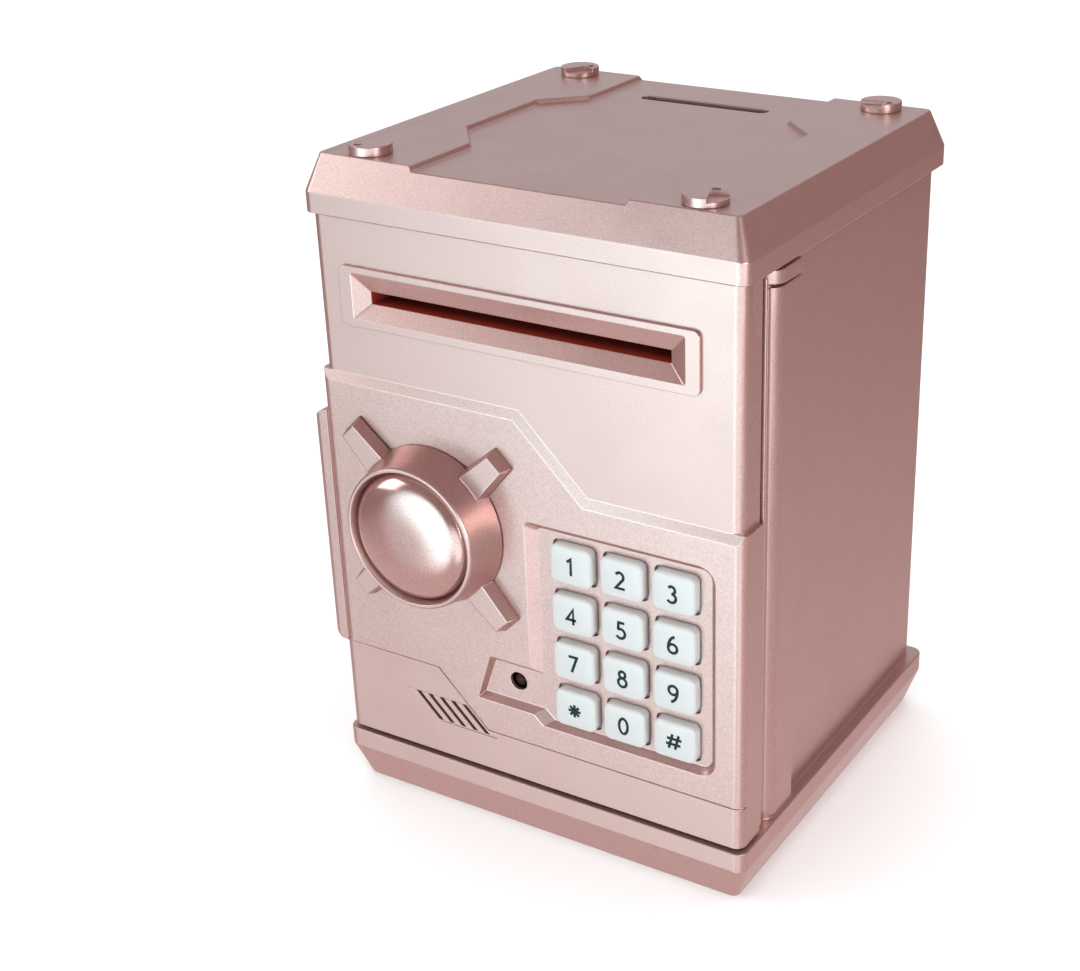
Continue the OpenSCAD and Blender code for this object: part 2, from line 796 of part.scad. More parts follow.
module cover_screws() color(steel)
    for (p = cover_screw_at) translate([p[0], lip_rear + 1.6, p[1]]) rotate([90, 0, 0]) screw(2.6, 1.6, screw_r, 7.6);

// ---- Batteries ----

module battery_door() color(rose) difference() {
    union() {
        block([cell_x - bat_in_w / 2 - bat_wall, bat_open, bat_low - bat_wall],
            [cell_x + bat_in_w / 2 + bat_wall, bat_open + bat_lid_t, bat_high + bat_wall]);
        block([cell_x - bat_in_w / 2 + 0.3, bat_open - 0.6, bat_high - 3],
            [cell_x + bat_in_w / 2 - 0.3, bat_open + eps, bat_high - 0.3]);
        bar_y(cell_x, bat_open, bat_open + bat_lid_t, lid_screw_z, lid_boss_r);
        // Thumb ribs
        for (i = [0:5]) block([cell_x - 14, bat_open + bat_lid_t - eps, bat_low + 4 + 2.4 * i],
            [cell_x + 14, bat_open + bat_lid_t + 0.6, bat_low + 5.2 + 2.4 * i]);
    }
    bar_y(cell_x, -far, 0, lid_screw_z, lid_screw_r + 0.2);
}

module battery_door_screw() color(steel)
    translate([cell_x, bat_open + bat_lid_t + 1.4, lid_screw_z]) rotate([90, 0, 0]) screw(2.6, 1.4, lid_screw_r, 5);

// The middle cell stands the other way up. Each flat end has a spring and each nub a plate.
function flipped(i) = i == 1;

module at_cell(i) {
    half = (bat_high - bat_low) / 2;
    translate([cell_x + (i - 1) * cell_pitch, cell_y, bat_low + half]) rotate([flipped(i) ? 180 : 0, 0, 0])
        translate([0, 0, -half]) children();
}

module cell_at(i) color([0.2, 0.45, 0.25]) at_cell(i) translate([0, 0, spring_room]) {
    cylinder(h = cell_len - nub_h, r = cell_r);
    translate([0, 0, cell_len - nub_h - eps]) cylinder(h = nub_h + eps, r = 2.7);
}

module battery_1() cell_at(0);
module battery_2() cell_at(1);
module battery_3() cell_at(2);

// Cones stand for the wound contact springs
module battery_springs() color(steel)
    for (i = [0:2]) at_cell(i) translate([0, 0, 0.02]) cylinder(h = spring_room - 0.04, r1 = 3.6, r2 = 2.4);

module battery_plates() color(steel)
    for (i = [0:2]) at_cell(i) translate([0, 0, bat_high - bat_low]) {
        translate([-4.5, -5, -0.52]) cube([9, 10, 0.5]);
        translate([0, 0, -plate_room + 0.02]) cylinder(h = plate_room - 0.4, r = 2);
    }

// ---- Solenoid ----

module solenoid_frame() color(steel) difference() {
    union() {
        block([knob_x - sol_hw, lip_rear, coil_low - sol_plate], [knob_x + sol_hw, sol_rear, coil_low]);
        block([knob_x - sol_hw, lip_rear, coil_high], [knob_x + sol_hw, sol_rear, coil_high + sol_plate]);
        block([knob_x - sol_hw, lip_rear, coil_low - sol_plate], [knob_x + sol_hw, lip_rear + 0.8, coil_high + sol_plate]);
    }
    bar_z(knob_x, plunger_y, 0, far, plunger_r + 0.08);
}

module solenoid_coil() color([0.62, 0.3, 0.16]) difference() {
    bar_z(knob_x, plunger_y, coil_low, coil_high, coil_r);
    bar_z(knob_x, plunger_y, 0, far, plunger_r + 0.08);
}

module solenoid_plunger() color(steel) {
    bar_z(knob_x, plunger_y, coil_low - sol_plate + 0.4, plunger_tip, plunger_r);
    bar_z(knob_x, plunger_y, collar_z, collar_z + 1.2, 3.6);
}

module plunger_spring() color(steel) difference() {
    bar_z(knob_x, plunger_y, coil_high + sol_plate + 0.05, collar_z - 0.05, 3.2);
    bar_z(knob_x, plunger_y, 0, far, 2.6);
}

// ---- Knob and latch ----

module knob_arm() {
    hull() {
        along_y(arm_front, arm_front + eps) polygon([[10, -4.6], [arm_r - 1.2, -2.7], [arm_r - 1.2, 2.7], [10, 4.6]]);
        along_y(knob_foot - eps, knob_foot) polygon([[10, -5.8], [arm_r, -3.6], [arm_r, 3.6], [10, 5.8]]);
    }
}

module knob_body() color(rose) {
    about_y(knob_x, knob_z) polygon([[0, dome_seat], [dome_r + 0.1, dome_seat], [knob_r - knob_rim_w, knob_front],
        [knob_r - 0.4, knob_front], [knob_r, knob_front + 0.6], [knob_r + 0.9, -66], [knob_foot_r, knob_foot],
        [spindle_r, knob_foot], [spindle_r, spindle_end], [0, spindle_end]]);
    for (a = [45:90:315]) translate([knob_x, 0, knob_z]) rotate([0, a, 0]) knob_arm();
    difference() {
        bar_y(knob_x, spindle_end - eps, cam_rear - 0.2, knob_z, drive_r);
        bar_y(knob_x, spindle_end - 1, 0, knob_z, 0.9);
    }
}

module knob_dome() color(rose_light)
    about_y(knob_x, knob_z) polygon(concat([[0, dome_seat], [dome_r, dome_seat]],
        [for (a = [0:10:90])
            [dome_r * pow(cos(a), dome_fullness), dome_seat + 0.02 - (dome_seat - dome_top) * sin(a)]]));

module latch_cam() color(steel) difference() {
    union() {
        bar_y(knob_x, cam_front, cam_rear, knob_z, cam_r);
        along_y(cam_front, cam_rear) translate([knob_x, knob_z]) {
            area(-latch_w / 2, 0, latch_w / 2, latch_len - latch_w / 2);
            translate([0, latch_len - latch_w / 2]) circle(latch_w / 2);
        }
    }
    bar_y(knob_x, -far, far, knob_z, drive_r + pin_fit);
    block([knob_x - cam_r - 1, cam_front - 1, knob_z - 2.4], [knob_x - cam_r + 3, cam_rear + 1, knob_z + 2.4]);
}

module cam_screw() color(steel)
    translate([knob_x, cam_rear + 1.4, knob_z]) rotate([90, 0, 0]) screw(4.4, 1.4, 0.88, 2.4);

// ---- Note feeder ----

module feed_frame() color(dark) difference() {
    union() {
        along_x(feed_left, feed_left + feed_plate) area(feed_front, feed_low, feed_rear, feed_top);
        along_x(feed_right, feed_right + feed_plate) area(feed_front, motor_z - 9, feed_rear, feed_top);
        for (s = [-1, 1])
            block([feed_left + 1, feed_front + 0.4, note_z + s * (guide_half + guide_t / 2) - guide_t / 2],
                [feed_right + 1, feed_rear, note_z + s * (guide_half + guide_t / 2) + guide_t / 2]);
        block([feed_left + 1, feed_front, feed_top - 1.6], [feed_right + 1, feed_front + 5, feed_top]);
    }
    // Windows for the rollers and the idlers
    for (x = roller_at) block([x - roller_w / 2 - 1, roller_y - 8, note_z - 6], [x + roller_w / 2 + 1, roller_y + 8, note_z + 6]);
    bar_x(-far, far, roller_y, roller_z, shaft_r + run_gap);
    bar_x(-far, far, roller_y, idler_z, idler_shaft_r + run_gap);
    bar_x(0, far, roller_y, arbor_z, arbor_r);
    bar_x(0, far, roller_y, motor_z, 3.1);
}

module note_sensor() color([0.08, 0.08, 0.1])
    block([-16, feed_front + 0.5, note_z + guide_half + guide_t], [-8, feed_front + 6.5, note_z + guide_half + guide_t + 5]);

module roller_shaft() color(steel) bar_x(feed_left - 0.6, gear_a[1] + 0.2, roller_y, roller_z, shaft_r);

module feed_rollers() color([0.2, 0.2, 0.21])
    for (x = roller_at) difference() {
        bar_x(x - roller_w / 2, x + roller_w / 2, roller_y, roller_z, roller_r);
        bar_x(x - roller_w, x + roller_w, roller_y, roller_z, shaft_r);
    }

module idler_shaft() color(steel) bar_x(feed_left - 0.6, feed_right + feed_plate + 0.2, roller_y, idler_z, idler_shaft_r);

module idler_wheels() color(white)
    for (x = roller_at) difference() {
        bar_x(x - roller_w / 2 + 0.5, x + roller_w / 2 - 0.5, roller_y, idler_z, idler_r);
        bar_x(x - roller_w, x + roller_w, roller_y, idler_z, idler_shaft_r);
    }

// A gear across the X axis, with a tooth turned to the angle start from +Y towards +Z
module gear_at(z, x, teeth, start, bore) {
    translate([x[0], roller_y, z]) rotate([90, 0, 90]) linear_extrude(x[1] - x[0]) difference() {
        rotate(start) gear_outline(teeth);
        circle(bore);
    }
}

module drive_gear() color(white) gear_at(roller_z, gear_a, drive_teeth, -90, shaft_r);

module compound_gear() color(white) {
    gear_at(arbor_z, [gear_a[0], gear_b[0] + eps], small_teeth, 90 + 180 / small_teeth, arbor_r + run_gap);
    gear_at(arbor_z, gear_b, big_teeth, -90, arbor_r + run_gap);
}

module motor_pinion() color(brass_c) gear_at(motor_z, gear_b, pinion_teeth, 90 + 180 / pinion_teeth, 1);

module motor_shaft() color(steel) bar_x(feed_right - 4, gear_b[1], roller_y, motor_z, 1);

module gear_arbor() color(steel) bar_x(feed_right, gear_b[1] + 0.2, roller_y, arbor_z, arbor_r);

module feed_motor() color(steel) difference() {
    union() {
        along_x(feed_right - motor_len, feed_right) intersection() {
            translate([roller_y, motor_z]) circle(motor_w / 2);
            area(roller_y - motor_w, motor_z - motor_t / 2, roller_y + motor_w, motor_z + motor_t / 2);
        }
        bar_x(feed_right - eps, feed_right + feed_plate, roller_y, motor_z, 3);
        bar_x(feed_right - motor_len - 1.6, feed_right - motor_len + eps, roller_y, motor_z, 4.5);
    }
    bar_x(feed_right - 4.2, far, roller_y, motor_z, 1 + run_gap);
}

// ---- Assembly ----

case_shell();
floor_plate();
floor_screws();
top_cap();
bolt_covers();
cap_screws();
post_cap();
hinge_pins();
door_shell();
note_bezel();
back_cover();
cover_screws();
keypad_mat();
circuit_board();
control_chip();
status_led();
board_screws();
speaker();
battery_door();
battery_door_screw();
battery_1();
battery_2();
battery_3();
battery_springs();
battery_plates();
solenoid_frame();
solenoid_coil();
solenoid_plunger();
plunger_spring();
knob_body();
knob_dome();
latch_cam();
cam_screw();
feed_frame();
note_sensor();
feed_motor();
gear_arbor();
motor_shaft();
motor_pinion();
compound_gear();
drive_gear();
roller_shaft();
feed_rollers();
idler_shaft();
idler_wheels();
for (i = [0:11]) key_at(i);
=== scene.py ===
"""Looks of a toy cash machine savings bank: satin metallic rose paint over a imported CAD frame."""

import json
import math

import bmesh
import bpy
from mathutils import Matrix, Vector


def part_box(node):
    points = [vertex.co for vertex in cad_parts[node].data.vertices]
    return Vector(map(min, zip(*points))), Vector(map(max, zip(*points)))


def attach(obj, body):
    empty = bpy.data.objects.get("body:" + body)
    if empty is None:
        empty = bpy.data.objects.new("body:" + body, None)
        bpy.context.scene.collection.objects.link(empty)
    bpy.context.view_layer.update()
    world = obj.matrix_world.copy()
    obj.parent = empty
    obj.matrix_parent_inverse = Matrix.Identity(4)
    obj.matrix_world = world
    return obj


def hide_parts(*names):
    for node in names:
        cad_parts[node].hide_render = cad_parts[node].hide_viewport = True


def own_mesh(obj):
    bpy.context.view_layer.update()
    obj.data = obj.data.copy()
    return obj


MM = 0.001
WELD = 0.004 * MM
FLAT_ANGLE = math.radians(0.6)
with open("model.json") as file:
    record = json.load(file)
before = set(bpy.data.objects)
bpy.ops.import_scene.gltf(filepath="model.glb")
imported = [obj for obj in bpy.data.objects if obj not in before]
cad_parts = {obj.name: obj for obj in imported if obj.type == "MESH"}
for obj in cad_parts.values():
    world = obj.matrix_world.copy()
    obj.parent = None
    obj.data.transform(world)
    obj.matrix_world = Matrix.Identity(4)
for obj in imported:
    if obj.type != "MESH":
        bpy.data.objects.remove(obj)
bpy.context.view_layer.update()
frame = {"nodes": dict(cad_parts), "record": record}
RECORD = frame["record"]
BODY_OF = {n: body for body, names in RECORD["behaviour"]["bodies"].items() for n in names}
SLOT_OF = {s["node"]: s["material_slot"] for s in RECORD["subparts"]}


# ---- Node materials ----

class Paint:
    """One Principled material, with short ways to add procedural detail to it."""

    def __init__(self, name, colour, roughness, metallic=0.0, **sockets):
        self.material = bpy.data.materials.new(name)
        self.material.use_nodes = True
        self.tree = self.material.node_tree
        self.bsdf = self.tree.nodes["Principled BSDF"]
        self.bsdf.inputs["Base Color"].default_value = (*colour, 1)
        self.bsdf.inputs["Roughness"].default_value = roughness
        self.bsdf.inputs["Metallic"].default_value = metallic
        for socket, value in sockets.items():
            self.bsdf.inputs[socket.replace("_", " ")].default_value = value
        self.place = self.node("ShaderNodeTexCoord").outputs["Object"]

    def node(self, kind, **settings):
        made = self.tree.nodes.new(kind)
        for name, value in settings.items():
            setattr(made, name, value)
        return made

    def link(self, a, b):
        self.tree.links.new(a, b)

    def noise(self, size, detail=2.0, stretch=(1, 1, 1)):
        """Noise whose features are about size metres across."""
        mapping = self.node("ShaderNodeMapping")
        mapping.inputs["Scale"].default_value = stretch
        self.link(self.place, mapping.inputs["Vector"])
        noise = self.node("ShaderNodeTexNoise")
        noise.inputs["Scale"].default_value = 1 / size
        noise.inputs["Detail"].default_value = detail
        self.link(mapping.outputs["Vector"], noise.inputs["Vector"])
        return noise.outputs["Fac"]

    def ramp(self, value, low, high, a, b):
        """Maps value from low..high to a..b."""
        node = self.node("ShaderNodeMapRange")
        for socket, number in zip(("From Min", "From Max", "To Min", "To Max"), (low, high, a, b)):
            node.inputs[socket].default_value = number
        self.link(value, node.inputs["Value"])
        return node.outputs["Result"]

    def mix(self, value, a, b):
        """Mixes two colours by value."""
        node = self.node("ShaderNodeMix", data_type="RGBA")
        node.inputs["A"].default_value = (*a, 1)
        node.inputs["B"].default_value = (*b, 1)
        self.link(value, node.inputs["Factor"])
        return node.outputs["Result"]

    def colour(self, output):
        self.link(output, self.bsdf.inputs["Base Color"])

    def rough(self, output):
        self.link(output, self.bsdf.inputs["Roughness"])

    def bump(self, height, depth, strength=1.0):
        node = self.node("ShaderNodeBump")
        node.inputs["Distance"].default_value = depth
        node.inputs["Strength"].default_value = strength
        self.link(height, node.inputs["Height"])
        self.link(node.outputs["Normal"], self.bsdf.inputs["Normal"])


def shade(colour, factor):
    return tuple(c * factor for c in colour)


ROSE = (0.57, 0.37, 0.345)
ROSE_DEEP = (0.48, 0.29, 0.265)
GRAIN = 0.25 * MM


def rose_paint(name, roughness):
    """Satin metallic paint: fine flake in its colour, and slow cloudy shifts in its gloss."""
    p = Paint(name, ROSE, roughness, metallic=0.85)
    flake = p.noise(GRAIN, detail=1.0)
    p.colour(p.mix(p.ramp(flake, 0.3, 0.7, 0, 1), ROSE_DEEP, shade(ROSE, 1.12)))
    p.rough(p.ramp(p.noise(14 * MM, detail=3.0), 0.3, 0.7, roughness - 0.03, roughness + 0.03))
    p.bump(flake, 0.012 * MM, 0.5)
    return p.material


def key_plastic():
    p = Paint("white_key_plastic", (0.53, 0.515, 0.51), 0.28, Coat_Weight=0.15, Subsurface_Weight=0.05)
    p.colour(p.mix(p.noise(6 * MM), (0.52, 0.505, 0.5), (0.54, 0.525, 0.52)))
    p.bump(p.noise(1.2 * MM), 0.004 * MM, 0.4)
    return p.material


def ink():
    p = Paint("key_ink", (0.005, 0.02, 0.021), 0.6, Specular_IOR_Level=0.2)
    p.colour(p.mix(p.noise(0.5 * MM), (0.004, 0.016, 0.017), (0.008, 0.026, 0.027)))
    return p.material


def moulded(name, colour, roughness=0.5, spread=0.12, **sockets):
    """Plain moulded plastic with a fine eroded texture."""
    p = Paint(name, colour, roughness, **sockets)
    grain = p.noise(0.5 * MM, detail=3.0)
    p.colour(p.mix(grain, shade(colour, 1 - spread), shade(colour, 1 + spread)))
    p.rough(p.ramp(grain, 0.3, 0.7, roughness - 0.06, roughness + 0.06))
    p.bump(grain, 0.02 * MM, 0.5)
    return p.material


def metal(name, colour, roughness, stretch=(1, 1, 14)):
    """Plated or turned metal with drawn lines and faint stains."""
    p = Paint(name, colour, roughness, metallic=1.0)
    lines = p.noise(1.4 * MM, detail=4.0, stretch=stretch)
    stains = p.noise(5 * MM, detail=3.0)
    p.colour(p.mix(stains, shade(colour, 0.92), shade(colour, 1.03)))
    p.rough(p.ramp(lines, 0.3, 0.7, roughness - 0.05, roughness + 0.06))
    p.bump(lines, 0.006 * MM, 0.5)
    return p.material


MATERIALS = {
    "shell": rose_paint("rose_paint", 0.34),
    "knob": rose_paint("rose_paint_glossy", 0.16),
    "keys": key_plastic(),
    "inner": moulded("black_plastic", (0.022, 0.022, 0.025)),
    "gears": moulded("natural_nylon", (0.74, 0.72, 0.65), 0.42, 0.05),
    "steel": metal("zinc_plated_steel", (0.62, 0.63, 0.65), 0.3),
    "brass": metal("turned_brass", (0.72, 0.52, 0.2), 0.28),
    "copper": metal("copper_winding", (0.62, 0.2, 0.07), 0.3, (1, 1, 40)),
    "rubber": moulded("grey_rubber", (0.05, 0.05, 0.053), 0.75),
    "board": moulded("green_solder_mask", (0.01, 0.09, 0.035), 0.3, 0.2),
    "lamp": moulded("dark_red_lens", (0.03, 0.004, 0.004), 0.4, Specular_IOR_Level=0.15),
    "cell": moulded("green_cell_sleeve", (0.03, 0.16, 0.07), 0.3),
}
INK = ink()
# Painted shade: a dark red that stands in for the shade inside the note slot, where little light
# reaches
SLOT_PAINTED_SHADE = moulded("slot_painted_shade", (0.23, 0.022, 0.012))


# ---- Making pieces ----

EDGE_ANGLE = 17  # Faces of a shell that meet at more degrees than this have a sharp edge
AXIS_R = 0.001   # A profile's points on its axis are this far from it, in millimetres
NEAR = 0.1       # Points this close to a height, in millimetres, count as being at it


def place(name, mesh, body, material, replaces=()):
    """Links a finished mesh as a piece that rides on a body."""
    mesh.materials.append(material)
    piece = bpy.data.objects.new(name, mesh)
    bpy.context.scene.collection.objects.link(piece)
    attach(piece, body)
    if replaces:
        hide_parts(*replaces)
    return piece


def smooth_edges(piece, angle):
    """Smooth shading, with sharp edges where faces meet at more than angle degrees."""
    bm = bmesh.new()
    bm.from_mesh(piece.data)
    for face in bm.faces:
        face.smooth = True
    for edge in bm.edges:
        edge.smooth = len(edge.link_faces) == 2 and edge.calc_face_angle(0) < math.radians(angle)
    bm.to_mesh(piece.data)
    bm.free()


def plain_copy(node):
    """The CAD node's surface as a clean bmesh: welded, with flat areas as single faces."""
    source = frame["nodes"][node].data
    bm = bmesh.new()
    points = [bm.verts.new(v.co) for v in source.vertices]
    for polygon in source.polygons:
        corners = [points[i] for i in polygon.vertices]
        try:
            bm.faces.new(corners)
        except ValueError:
            pass  # The same face again
    bmesh.ops.remove_doubles(bm, verts=bm.verts, dist=WELD)
    bmesh.ops.dissolve_degenerate(bm, edges=bm.edges, dist=WELD)
    bmesh.ops.dissolve_limit(bm, angle_limit=FLAT_ANGLE, verts=bm.verts, edges=bm.edges)
    bmesh.ops.recalc_face_normals(bm, faces=bm.faces)
    return bm


def rounded(node, width):
    """A copy of a CAD node with its edges rounded to width millimetres, in the node's place."""
    slot = SLOT_OF[node]
    mesh = to_mesh(plain_copy(node), node + "_mesh")
    piece = place("visible_" + node, mesh, BODY_OF[node], MATERIALS[slot], [node])
    smooth_edges(piece, EDGE_ANGLE)
    bevel = piece.modifiers.new("edges", "BEVEL")
    bevel.width = width * MM
    bevel.segments = 2
    bevel.limit_method = "ANGLE"
    bevel.angle_limit = math.radians(EDGE_ANGLE)
    bevel.use_clamp_overlap = False
    bevel.harden_normals = True
    weighted = piece.modifiers.new("normals", "WEIGHTED_NORMAL")
    weighted.keep_sharp = True


def rounded_outline(half_w, half_h, radius, steps=5):
    """Points of a rounded rectangle, anticlockwise."""
    points = []
    for cx, cy, start in ((1, 1, 0), (-1, 1, 90), (-1, -1, 180), (1, -1, 270)):
        for i in range(steps + 1):
            a = math.radians(start + 90 * i / steps)
            points.append((cx * (half_w - radius) + radius * math.cos(a),
                           cy * (half_h - radius) + radius * math.sin(a)))
    return points


def loft(rings, closed=False):
    """A mesh through rings that have the same number of points, in millimetres, closed at its ends
    or joined up into a loop."""
    bm = bmesh.new()
    made = [[bm.verts.new(Vector(p) * MM) for p in ring] for ring in rings]
    count = len(rings[0])
    following = made[1:] + made[:1] if closed else made[1:]
    for a, b in zip(made, following):
        for i in range(count):
            j = (i + 1) % count
            bm.faces.new((a[i], a[j], b[j], b[i]))
    if not closed:
        bm.faces.new(made[0])
        bm.faces.new(made[-1])
    bmesh.ops.recalc_face_normals(bm, faces=bm.faces)
    return bm


def to_mesh(bm, name):
    """Ends a bmesh as a mesh of its own."""
    mesh = bpy.data.meshes.new(name)
    bm.to_mesh(mesh)
    bm.free()
    return mesh


def revolve_y(profile, x, z, steps=96):
    """A turned mesh about an axis along Y. The profile's points are (radius, y), in millimetres."""
    turns = [2 * math.pi * i / steps for i in range(steps)]
    rings = []
    for radius, y in profile:
        r = max(radius, AXIS_R)
        rings.append([(x + r * math.cos(a), y, z + r * math.sin(a)) for a in turns])
    return loft(rings)


def revolve_z(profile, x, y, steps=48):
    """A turned ring about an axis along Z.

    The profile's points are (radius, z), in millimetres, and it is a closed loop."""
    turns = [2 * math.pi * i / steps for i in range(steps)]
    rings = [[(x + r * math.cos(a), y + r * math.sin(a), z) for a in turns] for r, z in profile]
    return loft(rings, closed=True)


def box_mm(node):
    """A node's lowest and highest corners, in millimetres."""
    low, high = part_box(node)
    return low / MM, high / MM


# ---- Shells ----

EDGE_WIDTH = {
    "case_shell": 0.3,
    "top_cap": 0.25,
    "floor_plate": 0.3,
    "bolt_covers": 0.2,
    "post_cap": 0.4,
    "door_shell": 0.16,
    "note_bezel": 0.15,
    "back_cover": 0.2,
    "battery_door": 0.25,
    "knob_body": 0.3,
}
NOTE_Z = 152.8
NOTE_GAP = 3.3
NOTE_THROAT_Y = -57.3


def paint_note_slot_shade():
    """Paints the walls of the note slot, behind its funnel, dark red: painted shade standing in for the
    deep, unlit inside of the slot.
    """
    mesh = bpy.data.objects["visible_note_bezel"].data
    mesh.materials.append(SLOT_PAINTED_SHADE)
    for face in mesh.polygons:
        middle = face.center / MM
        if middle.y > NOTE_THROAT_Y and abs(middle.z - NOTE_Z) < NOTE_GAP / 2 + NEAR:
            face.material_index = 1


for shell, width in EDGE_WIDTH.items():
    rounded(shell, width)
# The slot's inner walls get painted shade, not a colour of their own
paint_note_slot_shade()


# ---- Keys ----

KEY_EDGE = 1.0      # Radius of the soft edge round a key's face
KEY_CORNER = 2.4    # Radius of a key's corners
KEY_DOME = 0.06     # How far the middle of the face stands proud of its edge
KEY_DOME_IN = 2.2   # The flat middle of the dome is this much smaller than the face, all round
DOME_CORNER = 0.6   # Radius of the corners of that flat middle
CORNER_LOSS = 0.9   # How much smaller the corner radius is where the soft edge meets the face
FLANGE_W = 0.75     # The flange under a key is this much wider than the key on each side
FLANGE_H = 0.8
FLANGE_T = 0.8
SIGN_HEIGHT = 5.2
SIGN_LINE = 0.155   # Width of a sign's lines, as a share of its height
SIGN_LIFT = 0.1
SIGN_FRONT = 0.03   # How far the lines stand proud of the key
SIGN_BACK = 0.04    # How deep their backs lie in the key
SIGN_STEP = 0.004   # Each further line of a sign stands this much prouder, so crossings are clean


def arc(x, z, rx, rz, start, end, steps=14):
    """Points along part of an ellipse, between two angles in degrees."""
    angles = [math.radians(start + (end - start) * i / steps) for i in range(steps + 1)]
    return [(x + rx * math.cos(a), z + rz * math.sin(a)) for a in angles]


def loop(x, z, rx, rz):
    """Points round a whole ellipse."""
    return arc(x, z, rx, rz, 0, 360, 24)


def turned(lines):
    """The same lines turned upside down about the middle of a sign."""
    return [[(-x, 1 - z) for x, z in line] for line in lines]


SIX = [arc(0.2, 0.3, 0.45, 0.68, 100, 178), loop(0, 0.29, 0.25, 0.25)]
STAR_R = 0.37
STAR_TURNS = [math.pi * i / 4 for i in range(4)]

# Each sign as lines in a box one unit high, centred on x = 0
SIGNS = {
    "key_0": [loop(0, 0.5, 0.25, 0.45)],
    "key_1": [[(-0.14, 0.76), (0.08, 0.94), (0.08, 0.02)]],
    "key_2": [arc(-0.02, 0.7, 0.22, 0.24, 155, -35) + [(-0.25, 0.06), (0.27, 0.06)]],
    "key_3": [arc(-0.03, 0.73, 0.19, 0.2, 150, -90), arc(-0.04, 0.29, 0.25, 0.24, 90, -150)],
    "key_4": [[(0.12, 0.02), (0.12, 0.9), (-0.26, 0.3), (0.29, 0.3)]],
    "key_5": [[(0.2, 0.93), (-0.14, 0.93), (-0.17, 0.58)] + arc(-0.04, 0.31, 0.26, 0.27, 115, -150)],
    "key_6": SIX,
    "key_7": [[(-0.25, 0.93), (0.25, 0.93), (-0.08, 0.02)]],
    "key_8": [loop(0, 0.74, 0.18, 0.19), loop(0, 0.29, 0.24, 0.25)],
    "key_9": turned(SIX),
    "key_star": [[(STAR_R * math.cos(a), 0.5 + STAR_R * math.sin(a)),
                  (-STAR_R * math.cos(a), 0.5 - STAR_R * math.sin(a))] for a in STAR_TURNS],
    "key_hash": [[(-0.28, 0.07), (-0.06, 0.93)], [(0.08, 0.07), (0.3, 0.93)],
                 [(-0.44, 0.34), (0.4, 0.34)], [(-0.38, 0.66), (0.46, 0.66)]],
}


def key_mesh(node):
    """A key with soft, cushioned edges and a very slightly domed face."""
    low, high = box_mm(node)
    half_w = (high.x - low.x) / 2 - FLANGE_W
    half_h = (high.z - low.z) / 2 - FLANGE_H
    x = (high.x + low.x) / 2
    z = (high.z + low.z) / 2
    edge = low.y + KEY_DOME
    shoulder = high.y - FLANGE_T
    rings = []

    def ring(y, grow, radius):
        outline = rounded_outline(half_w + grow, half_h + grow, radius)
        rings.append([(x + px, y, z + pz) for px, pz in outline])

    ring(low.y, -KEY_EDGE - KEY_DOME_IN, DOME_CORNER)
    for i in range(7):
        a = math.radians(15 * i)
        drop = KEY_EDGE * (1 - math.cos(a))
        ring(edge + drop, KEY_EDGE * (math.sin(a) - 1), KEY_CORNER - CORNER_LOSS * math.cos(a))
    ring(shoulder, 0, KEY_CORNER)
    ring(shoulder, FLANGE_W, KEY_CORNER)
    ring(high.y, FLANGE_W, KEY_CORNER)
    return to_mesh(loft(rings), node + "_mesh")


def ribbon(bm, line, half, front, back):
    """Adds a line of even width, with mitred corners, between two planes of one y each."""
    closed = math.dist(line[0], line[-1]) < 1e-6
    points = [Vector(p) for p in (line[:-1] if closed else line)]
    sides = []
    for i, point in enumerate(points):
        steps = []
        if closed or i > 0:
            steps.append((point - points[i - 1]).normalized())
        if closed or i < len(points) - 1:
            steps.append((points[(i + 1) % len(points)] - point).normalized())
        across = [Vector((-d.y, d.x)) for d in steps]
        mitre = sum(across, Vector((0, 0))).normalized()
        reach = half / max(mitre.dot(across[0]), 0.5)
        sides.append([point + mitre * reach, point - mitre * reach])
    rings = []
    for left, right in sides:
        section = ((left, back), (left, front), (right, front), (right, back))
        rings.append([bm.verts.new((p.x, y, p.y)) for p, y in section])
    following = rings[1:] + rings[:1] if closed else rings[1:]
    for one, two in zip(rings, following):
        for k in range(4):
            bm.faces.new((one[k], one[(k + 1) % 4], two[(k + 1) % 4], two[k]))
    if not closed:
        bm.faces.new(rings[0])
        bm.faces.new(rings[-1])


def sign(node):
    """The printed sign on a key, as lines that stand very slightly proud."""
    low, high = box_mm(node)
    x = (low.x + high.x) / 2
    z = (low.z + high.z) / 2 + SIGN_LIFT
    bm = bmesh.new()
    for i, line in enumerate(SIGNS[node]):
        placed = [((x + px * SIGN_HEIGHT) * MM, (z + (pz - 0.5) * SIGN_HEIGHT) * MM) for px, pz in line]
        front = (low.y - SIGN_FRONT - SIGN_STEP * i) * MM
        ribbon(bm, placed, SIGN_LINE / 2 * SIGN_HEIGHT * MM, front, (low.y + SIGN_BACK) * MM)
    bmesh.ops.recalc_face_normals(bm, faces=bm.faces)
    place("sign_" + node, to_mesh(bm, node + "_sign"), BODY_OF[node], INK)


for key in SIGNS:
    piece = place("visible_" + key, key_mesh(key), BODY_OF[key], MATERIALS["keys"], [key])
    smooth_edges(piece, 40)
    sign(key)


# ---- Knob dome ----

DOME_FULLNESS = 0.55  # Power of the cosine in its profile: 1 is an ellipse, and less is fuller


def dome_mesh():
    """A smooth, full dome that nearly fills the knob's ring."""
    low, high = box_mm("knob_dome")
    x = (low.x + high.x) / 2
    z = (low.z + high.z) / 2
    radius = (high.x - low.x) / 2
    rise = high.y - low.y
    steps = 24
    profile = []
    for i in range(steps + 1):
        a = math.pi / 2 * i / steps
        profile.append((radius * max(math.cos(a), 0) ** DOME_FULLNESS, high.y - rise * math.sin(a)))
    return to_mesh(revolve_y(profile, x, z), "dome_mesh")


dome = place("visible_knob_dome", dome_mesh(), BODY_OF["knob_dome"], MATERIALS["knob"],
             ["knob_dome"])
smooth_edges(dome, 60)


# ---- Springs and winding ----

